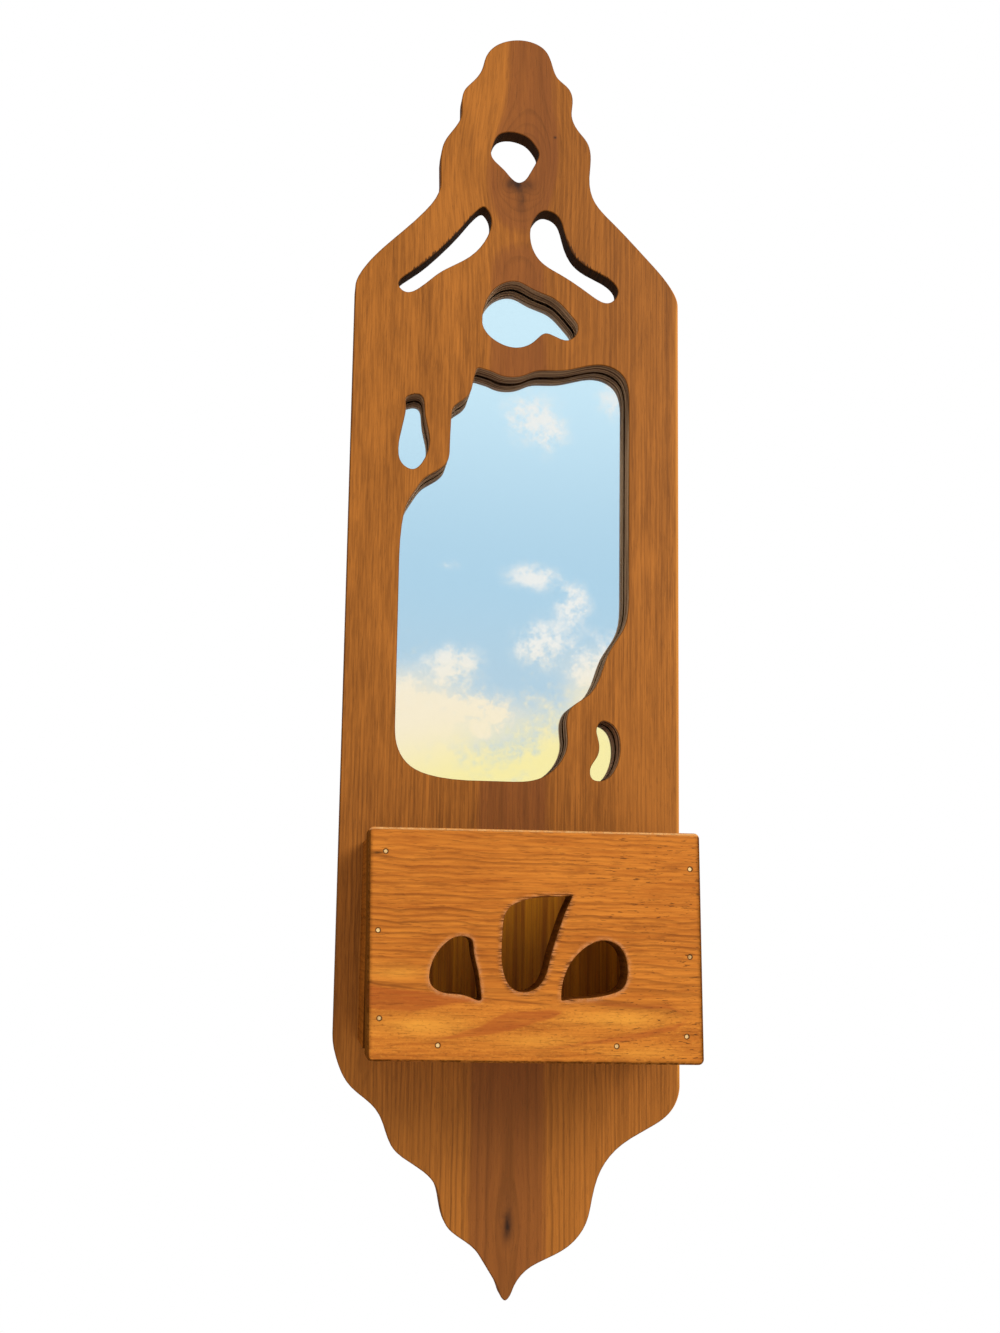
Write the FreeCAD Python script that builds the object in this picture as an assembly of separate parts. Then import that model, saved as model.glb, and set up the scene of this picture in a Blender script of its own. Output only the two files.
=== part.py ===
import FreeCAD, Part
import os

Vec = FreeCAD.Vector

# Driving dimensions, in millimetres. A drop is measured down from the top of the board.

# Backboard
board_width = 203.0
board_thickness = 13.0
board_round = 0.8
lobe_width = 94.4
lobe_height = 104.0
lobe_shift = -2.0
crown_height = 172.0
foot_rise = 7.5
foot_depth = 146.6
right_foot_lowering = 28.0
tip_width = 4.0
tip_rise = 1.4

# Openings in the backboard
opening_round = 0.6
hole_width = 30.3
hole_height = 33.1
hole_left = -18.6
hole_drop = 63.3
left_leaf_width = 57.0
left_leaf_height = 59.8
left_leaf_gap = 18.0
right_leaf_width = 56.0
right_leaf_height = 58.8
right_leaf_gap = 7.0
leaf_rise = 58.0
fish_width = 60.3
fish_height = 42.8
fish_shift = 7.65
fish_gap = 8.6
window_rail = 31.2
window_head = 41.6
window_height = 260.8
window_upper_curve = 127.8
window_lower_curve = 114.8
teardrop_width = 19.0
teardrop_height = 46.3
teardrop_rail = 29.0
teardrop_lowering = 25.9
kidney_width = 18.4
kidney_height = 36.4
kidney_rail = 36.2
kidney_rise = 1.4

# Storage box
box_left_inset = 14.25
box_right_inset = 8.25
box_gap = 33.0
side_depth = 64.0
side_thickness = 13.0
side_setback = 4.0
side_round = 1.2
bottom_thickness = 13.0
bottom_setback = 5.0
front_height = 122.2
front_thickness = 22.0
front_lean = 2.2
front_taper = 1.3
front_corner = 3.0
front_round = 2.0
cut_round = 1.2

# Openings in the front panel, placed from the panel's centre line and top
left_cut_width = 28.2
left_cut_height = 32.6
left_cut_shift = -43.1
left_cut_drop = 57.6
middle_cut_width = 37.4
middle_cut_height = 51.0
middle_cut_shift = 0.0
middle_cut_drop = 34.5
right_cut_width = 36.3
right_cut_height = 31.5
right_cut_shift = 31.3
right_cut_drop = 58.4

# Finishing nails, one size throughout
nail_radius = 0.8
nail_head_radius = 1.05
nail_head_length = 1.4
nail_length = 42.0
nail_tip = 2.4
nail_set = 0.4
nail_clearance = 0.05
left_nail_drops = (13.0, 54.5, 100.0)
left_nail_insets = (8.4, 5.4, 7.2)
right_nail_drops = (19.5, 66.5, 108.5)
right_nail_insets = (6.6, 6.8, 8.6)
bottom_nail_shifts = (-52.0, 43.5)
bottom_nail_rise = 3.5
side_nail_front_inset = 24.0
side_nail_rear_inset = 12.0

# Countersunk screws from the rear of the board into the box
screw_radius = 2.0
screw_head_radius = 4.0
screw_head_length = 2.6
screw_length = 38.0
screw_tip = 6.0
screw_clearance = 0.05
side_screw_inset = 22.0
bottom_screw_inset = 60.0
recess_width = 0.9
recess_share = 0.6
recess_depth = 1.2

# Mirrors
glass_thickness = 3.0
silver_thickness = 0.3
large_overlap = 4.5
small_overlap = 3.0
mirror_gap = 1.0
corner_cut_width = 18.7
corner_cut_height = 11.8

# Mirror clips and their pan-head screws
clip_width = 12.0
clip_foot = 13.0
clip_reach = 5.0
clip_thickness = 1.2
clip_bend = 1.0
clip_corner = 2.5
clip_clearance = 0.1
clip_screw_radius = 1.5
clip_screw_head_radius = 3.0
clip_screw_head_height = 1.8
clip_screw_crown_radius = 1.8
clip_screw_rim = 0.5
clip_screw_length = 10.0
clip_screw_tip = 3.0
clip_inset = 55.0

# Sawtooth hanger, whose bearing notch is the origin
hanger_drop = 40.0
hanger_width = 44.0
hanger_height = 11.0
hanger_thickness = 0.9
hanger_lift = 2.0
hanger_tab = 7.5
hanger_ramp = 2.5
tooth_pitch = 2.4
tooth_depth = 2.0
tooth_count = 9
hanger_nail_radius = 0.7
hanger_nail_head_radius = 1.6
hanger_nail_head_length = 0.6
hanger_nail_length = 11.0
hanger_nail_tip = 2.1

# Felt pads that rest on the wall
pad_radius = 9.0
pad_thickness = 5.0
pad_shift = 62.0
pad_lowering = 23.0

# How far apart two places may be and still count as one
touch = 0.001

# Places worked out from the driving dimensions
half_width = board_width / 2
leaf_drop = crown_height - leaf_rise
window_drop = crown_height + window_head
box_drop = window_drop + window_height + box_gap
foot_drop = box_drop + front_height - foot_rise

wall_plane = 0.0
board_rear = wall_plane - pad_thickness
board_front = board_rear - board_thickness
panel_rear = board_front - side_depth
panel_front = panel_rear - front_thickness

box_left = box_left_inset - half_width
box_right = half_width - box_right_inset
box_middle = (box_left + box_right) / 2
side_top_drop = box_drop + side_setback
box_base_drop = box_drop + front_height - bottom_setback

to_wall = Vec(0, 1, 0)
to_room = Vec(0, -1, 0)
to_left = Vec(-1, 0, 0)
to_right = Vec(1, 0, 0)
upward = Vec(0, 0, 1)
downward = Vec(0, 0, -1)

# Freehand outlines, as shares of each one's own width and height

left_lobe_shape = [
    (0.127, 0.007), (0.339, 0.056), (0.445, 0.125), (0.498, 0.212), (0.627, 0.298), (0.729, 0.356),
    (0.758, 0.442), (0.767, 0.529), (0.867, 0.615), (0.985, 0.702), (1.025, 0.798), (1.019, 0.933),
    (1.030, 1.0),
]
right_lobe_shape = [
    (0.126, 0.0), (0.356, 0.048), (0.461, 0.144), (0.535, 0.226), (0.692, 0.293), (0.746, 0.365),
    (0.734, 0.462), (0.818, 0.558), (0.954, 0.639), (1.0, 0.740), (0.983, 0.875), (1.038, 1.0),
]
shoulder_shape = [(0.20, 0.22), (0.64, 0.57), (0.92, 0.83)]
left_foot_shape = [
    (0.975, 0.095), (0.897, 0.194), (0.754, 0.279), (0.699, 0.347), (0.655, 0.422), (0.512, 0.500),
    (0.406, 0.568), (0.377, 0.639), (0.335, 0.724), (0.182, 0.806), (0.102, 0.884), (0.042, 0.955),
]
right_foot_shape = [
    (0.045, 0.955), (0.110, 0.894), (0.227, 0.849), (0.360, 0.800), (0.458, 0.714),
    (0.490, 0.626), (0.542, 0.514), (0.640, 0.431), (0.828, 0.352), (0.946, 0.292),
]
hole_shape = [
    (0.0, 0.396), (0.040, 0.251), (0.158, 0.057), (0.300, 0.0), (0.607, 0.015), (0.749, 0.069),
    (0.931, 0.245), (1.0, 0.384), (0.954, 0.556), (0.818, 0.801), (0.710, 0.946), (0.574, 1.0),
    (0.485, 0.964), (0.307, 0.795), (0.122, 0.637), (0.020, 0.523),
]
left_leaf_shape = [
    (0.939, 0.014), (0.998, 0.117), (0.937, 0.376), (0.772, 0.562), (0.447, 0.757), (0.237, 0.930),
    (0.070, 0.986), (0.002, 0.920), (0.123, 0.776), (0.439, 0.507), (0.684, 0.239), (0.833, 0.059),
]
right_leaf_shape = [
    (0.196, 0.0), (0.313, 0.060), (0.394, 0.266), (0.535, 0.526), (0.723, 0.641), (0.929, 0.748),
    (1.0, 0.859), (0.911, 0.986), (0.688, 0.913), (0.346, 0.708), (0.113, 0.566), (0.002, 0.340),
    (0.063, 0.068),
]
fish_shape = [
    (0.002, 0.650), (0.033, 0.346), (0.166, 0.077), (0.357, 0.0), (0.527, 0.107), (0.738, 0.222),
    (0.920, 0.463), (0.998, 0.657), (0.912, 0.836), (0.788, 0.813), (0.653, 0.759), (0.547, 0.883),
    (0.340, 1.0), (0.149, 0.918), (0.038, 0.778),
]
window_upper_shape = [
    (0.0, 1.0), (0.011, 0.811), (0.028, 0.734), (0.058, 0.675), (0.100, 0.609), (0.161, 0.563),
    (0.196, 0.524), (0.208, 0.426), (0.211, 0.325), (0.223, 0.247), (0.262, 0.211), (0.291, 0.175),
    (0.304, 0.121), (0.314, 0.070), (0.326, 0.047), (0.342, 0.049), (0.383, 0.061), (0.425, 0.079),
    (0.471, 0.085), (0.527, 0.074), (0.578, 0.049), (0.640, 0.041), (0.713, 0.035), (0.898, 0.0),
    (0.969, 0.043), (1.0, 0.184),
]
window_lower_shape = [
    (1.0, 0.0), (0.980, 0.168), (0.916, 0.300), (0.877, 0.430), (0.827, 0.534), (0.749, 0.609),
    (0.730, 0.675), (0.736, 0.780), (0.696, 0.909), (0.614, 0.982), (0.464, 1.0), (0.180, 0.984),
    (0.059, 0.923), (0.009, 0.823), (0.0, 0.705),
]
teardrop_shape = [
    (0.316, 0.0), (0.710, 0.0), (0.826, 0.227), (0.995, 0.594), (0.842, 0.853), (0.474, 1.0),
    (0.116, 0.918), (0.005, 0.745), (0.132, 0.378), (0.205, 0.119),
]
kidney_shape = [
    (0.495, 0.0), (0.837, 0.115), (1.0, 0.396), (0.848, 0.780), (0.440, 0.984), (0.087, 0.959),
    (0.022, 0.794), (0.250, 0.588), (0.293, 0.341), (0.234, 0.107),
]
left_cut_shape = [
    (0.741, 0.009), (0.486, 0.0), (0.202, 0.184), (0.021, 0.491), (0.043, 0.767), (0.291, 0.890),
    (0.745, 0.948), (0.979, 0.994), (0.979, 0.890), (0.908, 0.521), (0.823, 0.184),
]
middle_cut_shape = [
    (0.987, 0.006), (0.738, 0.020), (0.337, 0.057), (0.083, 0.159), (0.003, 0.433), (0.021, 0.786),
    (0.163, 0.975), (0.417, 0.998), (0.591, 0.894), (0.698, 0.649), (0.845, 0.306), (0.968, 0.080),
]
right_cut_shape = [
    (0.011, 0.990), (0.022, 0.768), (0.146, 0.387), (0.380, 0.111), (0.656, 0.0), (0.876, 0.102),
    (0.997, 0.451), (0.931, 0.784), (0.711, 0.905), (0.297, 0.971), (0.077, 0.997),
]


def height(drop):
    return hanger_drop - drop


def placed(shares, left, drop, width, tall):
    return [Vec(left + u * width, 0, height(drop + v * tall)) for u, v in shares]


def open_curve(points, start, end):
    curve = Part.BSplineCurve()
    curve.interpolate(Points=points, InitialTangent=start, FinalTangent=end, Scale=False)
    return curve.toShape()


def closed_curve(points):
    curve = Part.BSplineCurve()
    curve.interpolate(Points=points, PeriodicFlag=True)
    return Part.Wire(curve.toShape())


def straight(start, end):
    return Part.LineSegment(start, end).toShape()


def sheet(outer, openings, near, thickness):
    face = Part.makeFace([outer] + openings, "Part::FaceMakerBullseye")
    face.translate(Vec(0, near, 0))
    return face.extrude(Vec(0, thickness, 0))


def is_near(value, other):
    return abs(value - other) < touch


def edges_where(solid, holds):
    found = []
    for edge in solid.Edges:
        middle = edge.valueAt((edge.FirstParameter + edge.LastParameter) / 2)
        if all(holds(point) for point in [vertex.Point for vertex in edge.Vertexes] + [middle]):
            found.append(edge)
    return found


def front_edges(solid, plane):
    return edges_where(solid, lambda point: is_near(point.y, plane))


def front_wires(solid, plane):
    face = next(face for face in solid.Faces if is_near(face.BoundBox.YMax, plane))
    return face.OuterWire, [wire for wire in face.Wires if not wire.isSame(face.OuterWire)]


def block(left, right, near, far, low, top):
    return Part.makeBox(right - left, far - near, top - low, Vec(left, near, low))


def turned(profile, point, direction):
    corners = [Vec(radius, 0, along) for along, radius in profile]
    solid = Part.Face(Part.makePolygon(corners + corners[:1])).revolve(Vec(), upward, 360)
    solid.Placement = FreeCAD.Placement(point, FreeCAD.Rotation(upward, direction))
    return solid


def drilled(radius, depth, point):
    return turned([(0, 0), (0, radius), (depth, radius), (depth, 0)], point, to_room)


def cut_all(solid, tools):
    return solid.cut(Part.makeCompound(tools))


# Outlines of the board and its openings

def crown_side(lobe_shape, side):
    lobe = [(lobe_width / 2 * u, lobe_height * v) for u, v in lobe_shape]
    neck_x, neck_drop = lobe[-1]
    shoulder = [(neck_x + u * (half_width - neck_x), neck_drop + v * (crown_height - neck_drop))
                for u, v in shoulder_shape]
    points = [Vec(lobe_shift + side * x, 0, height(drop)) for x, drop in lobe]
    return points + [Vec(side * x, 0, height(drop)) for x, drop in shoulder]


def board_outline():
    left = crown_side(left_lobe_shape, -1)
    right = crown_side(right_lobe_shape, 1)
    left_shoulder = Vec(-half_width, 0, height(crown_height))
    right_shoulder = Vec(half_width, 0, height(crown_height))
    crown = open_curve([left_shoulder] + left[::-1] + right + [right_shoulder], upward, downward)

    left_foot = Vec(-half_width, 0, height(foot_drop))
    right_foot = Vec(half_width, 0, height(foot_drop + right_foot_lowering))
    tip = Vec(0, 0, height(foot_drop + foot_depth))
    scroll = [left_foot] + placed(left_foot_shape, 0, foot_drop, -half_width, foot_depth)
    scroll += [tip + Vec(-tip_width / 2, 0, tip_rise), tip, tip + Vec(tip_width / 2, 0, tip_rise)]
    scroll += placed(right_foot_shape, 0, foot_drop, half_width, foot_depth) + [right_foot]
    foot = open_curve(scroll, downward, upward)
    left_side = straight(left_foot, left_shoulder)
    right_side = straight(right_shoulder, right_foot)
    return Part.Wire([left_side, crown, right_side, foot])


def window_outline():
    left = window_rail - half_width
    width = board_width - 2 * window_rail
    lower_drop = window_drop + window_height - window_lower_curve
    upper = placed(window_upper_shape, left, window_drop, width, window_upper_curve)
    lower = placed(window_lower_shape, left, lower_drop, width, window_lower_curve)
    return Part.Wire([
        open_curve(lower, downward, upward), straight(lower[-1], upper[0]),
        open_curve(upper, upward, downward), straight(upper[-1], lower[0]),
    ])


def board_openings():
    left_leaf_left = -left_leaf_gap - left_leaf_width
    fish_left = fish_shift - fish_width / 2
    fish_drop = window_drop - fish_gap - fish_height
    kidney_left = half_width - kidney_rail - kidney_width
    kidney_drop = window_drop + window_height - kidney_rise - kidney_height
    return {
        "hole": closed_curve(placed(hole_shape, hole_left, hole_drop, hole_width, hole_height)),
        "left_leaf": closed_curve(
            placed(left_leaf_shape, left_leaf_left, leaf_drop, left_leaf_width, left_leaf_height)),
        "right_leaf": closed_curve(
            placed(right_leaf_shape, right_leaf_gap, leaf_drop, right_leaf_width, right_leaf_height)),
        "fish": closed_curve(placed(fish_shape, fish_left, fish_drop, fish_width, fish_height)),
        "window": window_outline(),
        "teardrop": closed_curve(placed(
            teardrop_shape, teardrop_rail - half_width, window_drop + teardrop_lowering,
            teardrop_width, teardrop_height)),
        "kidney": closed_curve(placed(kidney_shape, kidney_left, kidney_drop, kidney_width, kidney_height)),
    }


# Fasteners: each one has a cutter of the same profile, grown by a clearance

def nail_profile(clearance=0.0):
    top = -nail_set if clearance else 0.0
    head = nail_head_radius + clearance
    shank = nail_radius + clearance
    end = nail_length + clearance
    return [(top, 0), (top, head), (nail_head_length, head), (nail_head_length, shank),
            (end - nail_tip, shank), (end, 0)]


def screw_profile(clearance=0.0):
    head = screw_head_radius + clearance
    shank = screw_radius + clearance
    end = screw_length + clearance
    return [(0, 0), (0, head), (screw_head_length, shank), (end - screw_tip, shank), (end, 0)]


def clip_screw_profile(clearance=0.0):
    shank = clip_screw_radius + clearance
    end = clip_screw_length + clearance
    top = -clip_screw_head_height
    rim = clip_screw_head_radius
    point = [(end - clip_screw_tip, shank), (end, 0)]
    if clearance:
        return [(0, 0), (0, shank)] + point
    return [(top, 0), (top, clip_screw_crown_radius), (-clip_screw_rim, rim), (0, rim), (0, shank)] + point


def hanger_nail_profile(clearance=0.0):
    shank = hanger_nail_radius + clearance
    end = hanger_nail_length + clearance
    top = -hanger_nail_head_length
    point = [(end - hanger_nail_tip, shank), (end, 0)]
    if clearance:
        return [(0, 0), (0, shank)] + point
    return [(top, 0), (top, hanger_nail_head_radius), (0, hanger_nail_head_radius), (0, shank)] + point


def with_recess(screw, point, head_radius):
    reach = head_radius * recess_share
    half = recess_width / 2
    floor = point.y - recess_depth
    across = block(point.x - reach, point.x + reach, floor, point.y, point.z - half, point.z + half)
    upright = block(point.x - half, point.x + half, floor, point.y, point.z - reach, point.z + reach)
    return screw.cut(across.fuse(upright))


def board_screw(point):
    return with_recess(turned(screw_profile(), point, to_room), point, screw_head_radius)


def clip_screw(point):
    crown = point + to_wall * clip_screw_head_height
    return with_recess(turned(clip_screw_profile(), point, to_room), crown, clip_screw_head_radius)


# Where the fasteners go

def front_nail_points():
    set_plane = panel_front + nail_set
    left = [Vec(box_left + inset, set_plane, height(box_drop + drop))
            for inset, drop in zip(left_nail_insets, left_nail_drops)]
    right = [Vec(box_right - inset, set_plane, height(box_drop + drop))
             for inset, drop in zip(right_nail_insets, right_nail_drops)]
    bottom = [Vec(box_middle + shift, set_plane, height(box_base_drop - bottom_nail_rise))
              for shift in bottom_nail_shifts]
    return {"left": left, "right": right, "bottom": bottom}


def side_nail_points():
    middle = height(box_base_drop - bottom_thickness / 2)
    planes = (panel_rear + side_nail_front_inset, board_front - side_nail_rear_inset)
    return {
        "left": [Vec(box_left + nail_set, plane, middle) for plane in planes],
        "right": [Vec(box_right - nail_set, plane, middle) for plane in planes],
    }


def board_screw_points():
    side_middle = side_thickness / 2
    upper = height(side_top_drop + side_screw_inset)
    lower = height(box_base_drop - bottom_thickness - side_screw_inset)
    bottom = height(box_base_drop - bottom_thickness / 2)
    return {
        "left": [Vec(box_left + side_middle, board_rear, z) for z in (upper, lower)],
        "right": [Vec(box_right - side_middle, board_rear, z) for z in (upper, lower)],
        "bottom": [Vec(x, board_rear, bottom)
                   for x in (box_left + bottom_screw_inset, box_right - bottom_screw_inset)],
    }


def hanger_nail_points():
    reach = hanger_width / 2 - hanger_tab / 2
    middle = hanger_height / 2 - tooth_depth
    return [Vec(x, board_rear + hanger_thickness, middle) for x in (-reach, reach)]


# Mirrors: each rectangle covers its openings with an overlap all round

def mirror_rectangles(openings):
    seen = [openings[name].BoundBox for name in ("window", "teardrop", "kidney")]
    large = (min(box.XMin for box in seen) - large_overlap, max(box.XMax for box in seen) + large_overlap,
             min(box.ZMin for box in seen) - large_overlap, max(box.ZMax for box in seen) + large_overlap)
    fish = openings["fish"].BoundBox
    small = (fish.XMin - small_overlap, fish.XMax + small_overlap,
             large[3] + mirror_gap, fish.ZMax + small_overlap)
    return large, small


def large_plate(rectangle, near, thickness):
    left, right, low, top = rectangle
    return block(left, right, near, near + thickness, low, top)


def small_plate(rectangle, near, thickness):
    left, right, low, top = rectangle
    corners = [Vec(left, near, low), Vec(right, near, low), Vec(right, near, top - corner_cut_height),
               Vec(right - corner_cut_width, near, top), Vec(left, near, top)]
    return Part.Face(Part.makePolygon(corners + corners[:1])).extrude(Vec(0, thickness, 0))


# Clips stand on the board beside a mirror's edge, with a foot outward and a tongue over the glass

def clip_places(large, small):
    left, right, low, top = large
    small_left, small_right, small_low, small_top = small
    upper = top - clip_inset
    lower = low + clip_inset
    small_middle = (small_low + small_top - corner_cut_height) / 2
    small_top_middle = (small_left + small_right - corner_cut_width) / 2
    return {
        "large_clip_left_upper": (Vec(left, board_rear, upper), to_left),
        "large_clip_left_lower": (Vec(left, board_rear, lower), to_left),
        "large_clip_right_upper": (Vec(right, board_rear, upper), to_right),
        "large_clip_right_lower": (Vec(right, board_rear, lower), to_right),
        "large_clip_bottom_left": (Vec((left * 2 + right) / 3, board_rear, low), downward),
        "large_clip_bottom_right": (Vec((left + right * 2) / 3, board_rear, low), downward),
        "small_clip_left": (Vec(small_left, board_rear, small_middle), to_left),
        "small_clip_right": (Vec(small_right, board_rear, small_middle), to_right),
        "small_clip_top": (Vec(small_top_middle, board_rear, small_top), upward),
    }


def clip_screw_point(place):
    point, outward = place
    return point + outward * (clip_clearance + clip_thickness + clip_foot / 2) + to_wall * clip_thickness


def clip(place):
    point, outward = place
    step = glass_thickness + silver_thickness
    near = clip_clearance
    far = near + clip_thickness
    foot_end = far + clip_foot
    top = step + clip_thickness
    section = [Vec(foot_end, 0, 0), Vec(near, 0, 0), Vec(near, step, 0), Vec(-clip_reach, step, 0),
               Vec(-clip_reach, top, 0), Vec(far, top, 0), Vec(far, clip_thickness, 0),
               Vec(foot_end, clip_thickness, 0)]
    half = clip_width / 2
    solid = Part.Face(Part.makePolygon(section + section[:1])).extrude(Vec(0, 0, clip_width))
    solid.translate(Vec(0, 0, -half))
    bends = edges_where(solid, lambda spot: is_near(spot.x, far) and (
        is_near(spot.y, top) or is_near(spot.y, clip_thickness)))
    solid = solid.makeFillet(clip_bend, [edge for edge in bends if is_near(edge.Length, clip_width)])
    ends = edges_where(solid, lambda spot: is_near(abs(spot.z), half) and (
        is_near(spot.x, foot_end) or is_near(spot.x, -clip_reach)))
    corners = [edge for edge in ends if is_near(edge.Length, clip_thickness)]
    solid = solid.makeFillet(clip_corner, corners)
    screw_at = Vec(far + clip_foot / 2, clip_thickness, 0)
    solid = solid.cut(drilled(clip_screw_radius + screw_clearance, clip_thickness, screw_at))
    turn = FreeCAD.Rotation(outward, to_wall, outward.cross(to_wall), "XYZ")
    solid.Placement = FreeCAD.Placement(point, turn)
    return solid


# Sub-parts

def backboard(openings, clips):
    solid = sheet(board_outline(), list(openings.values()), board_front, board_thickness)
    outer, rims = front_wires(solid, board_front)
    solid = solid.makeFillet(board_round, outer.Edges)
    outer, rims = front_wires(solid, board_front)
    solid = solid.makeFillet(opening_round, [edge for rim in rims for edge in rim.Edges])
    tools = [turned(screw_profile(screw_clearance), point, to_room)
             for points in board_screw_points().values() for point in points]
    tools += [turned(clip_screw_profile(screw_clearance), clip_screw_point(place), to_room)
              for place in clips.values()]
    tools += [turned(hanger_nail_profile(nail_clearance), point, to_room) for point in hanger_nail_points()]
    return cut_all(solid, tools)


def box_front():
    top = height(box_drop)
    low = top - front_height
    lean = front_lean / 2
    corners = [Vec(box_left - lean, panel_front, top), Vec(box_right - lean, panel_front, top),
               Vec(box_right + lean, panel_front, low - front_taper), Vec(box_left + lean, panel_front, low)]
    solid = Part.Face(Part.makePolygon(corners + corners[:1])).extrude(Vec(0, front_thickness, 0))
    ends = [edge for edge in solid.Edges if is_near(edge.Length, front_thickness)]
    solid = solid.makeFillet(front_corner, ends)
    solid = solid.makeFillet(front_round, front_edges(solid, panel_front))
    cuts = [
        (left_cut_shape, left_cut_shift, left_cut_drop, left_cut_width, left_cut_height),
        (middle_cut_shape, middle_cut_shift, middle_cut_drop, middle_cut_width, middle_cut_height),
        (right_cut_shape, right_cut_shift, right_cut_drop, right_cut_width, right_cut_height),
    ]
    for shape, shift, drop, width, tall in cuts:
        points = placed(shape, box_middle + shift - width / 2, box_drop + drop, width, tall)
        solid = solid.cut(sheet(closed_curve(points), [], panel_front, front_thickness))
    arris = [edge for edge in front_edges(solid, panel_front) if edge.isClosed()]
    solid = solid.makeFillet(cut_round, arris)
    tools = [turned(nail_profile(nail_clearance), point, to_wall)
             for points in front_nail_points().values() for point in points]
    return cut_all(solid, tools)


def box_side(name, left):
    right = left + side_thickness
    top = height(side_top_drop)
    solid = block(left, right, panel_rear, board_front, height(box_base_drop), top)
    ridges = edges_where(solid, lambda spot: is_near(spot.z, top) and (
        is_near(spot.x, left) or is_near(spot.x, right)))
    solid = solid.makeFillet(side_round, ridges)
    inward = to_right if name == "left" else to_left
    nail = nail_profile(nail_clearance)
    screw = screw_profile(screw_clearance)
    tools = [turned(nail, point, to_wall) for point in front_nail_points()[name]]
    tools += [turned(nail, point, inward) for point in side_nail_points()[name]]
    tools += [turned(screw, point, to_room) for point in board_screw_points()[name]]
    return cut_all(solid, tools)


def box_bottom():
    low = height(box_base_drop)
    solid = block(box_left + side_thickness, box_right - side_thickness, panel_rear, board_front,
                  low, low + bottom_thickness)
    nail = nail_profile(nail_clearance)
    screw = screw_profile(screw_clearance)
    tools = [turned(nail, point, to_wall) for point in front_nail_points()["bottom"]]
    tools += [turned(nail, point, to_right) for point in side_nail_points()["left"]]
    tools += [turned(nail, point, to_left) for point in side_nail_points()["right"]]
    tools += [turned(screw, point, to_room) for point in board_screw_points()["bottom"]]
    return cut_all(solid, tools)


def sawtooth_hanger():
    reach = hanger_width / 2
    flat = reach - hanger_tab
    raised = flat - hanger_ramp
    lower = [Vec(-reach, 0, 0), Vec(-flat, 0, 0), Vec(-raised, hanger_lift, 0), Vec(raised, hanger_lift, 0),
             Vec(flat, 0, 0), Vec(reach, 0, 0)]
    upper = [point + Vec(0, hanger_thickness, 0) for point in lower[::-1]]
    section = Part.Face(Part.makePolygon(lower + upper + lower[:1]))
    section.translate(Vec(0, board_rear, -tooth_depth))
    solid = section.extrude(Vec(0, 0, hanger_height))
    depth = hanger_lift + 2 * hanger_thickness
    teeth = []
    for index in range(tooth_count):
        middle = (index - (tooth_count - 1) / 2) * tooth_pitch
        half = tooth_pitch / 2
        notch = [Vec(middle - half, board_rear, -tooth_depth), Vec(middle, board_rear, 0),
                 Vec(middle + half, board_rear, -tooth_depth)]
        teeth.append(Part.Face(Part.makePolygon(notch + notch[:1])).extrude(Vec(0, depth, 0)))
    solid = cut_all(solid, teeth)
    return cut_all(solid, [drilled(hanger_nail_radius + nail_clearance, hanger_thickness, point)
                           for point in hanger_nail_points()])


def wall_pad(side):
    point = Vec(side * pad_shift, board_rear, height(foot_drop + pad_lowering))
    return Part.makeCylinder(pad_radius, pad_thickness, point, to_wall)


def build():
    openings = board_openings()
    large, small = mirror_rectangles(openings)
    clips = clip_places(large, small)
    silver_plane = board_rear + glass_thickness
    pieces = {
        "backboard": [backboard(openings, clips)],
        "box_front": [box_front()],
        "box_left_side": [box_side("left", box_left)],
        "box_right_side": [box_side("right", box_right - side_thickness)],
        "box_bottom": [box_bottom()],
        "large_mirror_glass": [large_plate(large, board_rear, glass_thickness)],
        "large_mirror_silvering": [large_plate(large, silver_plane, silver_thickness)],
        "small_mirror_glass": [small_plate(small, board_rear, glass_thickness)],
        "small_mirror_silvering": [small_plate(small, silver_plane, silver_thickness)],
        "sawtooth_hanger": [sawtooth_hanger()],
        "hanger_nails": [turned(hanger_nail_profile(), point, to_room) for point in hanger_nail_points()],
        "left_wall_pad": [wall_pad(-1)],
        "right_wall_pad": [wall_pad(1)],
    }
    for name, points in front_nail_points().items():
        pieces["front_nails_" + name] = [turned(nail_profile(), point, to_wall) for point in points]
    inward = {"left": to_right, "right": to_left}
    for name, points in side_nail_points().items():
        pieces["side_nails_" + name] = [turned(nail_profile(), point, inward[name]) for point in points]
    for name, points in board_screw_points().items():
        pieces["board_screws_" + name] = [board_screw(point) for point in points]
    for name, place in clips.items():
        pieces[name] = [clip(place)]
    for size in ("large", "small"):
        held = [place for name, place in clips.items() if name.startswith(size)]
        pieces[size + "_clip_screws"] = [clip_screw(clip_screw_point(place)) for place in held]
    return pieces


os.makedirs("parts", exist_ok=True)
for node, solids in build().items():
    shape = solids[0] if len(solids) == 1 else Part.makeCompound(solids)
    shape.exportStep(os.path.join("parts", node + ".step"))
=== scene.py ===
import math

import bmesh
import bpy
from mathutils import Matrix, Vector


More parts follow.
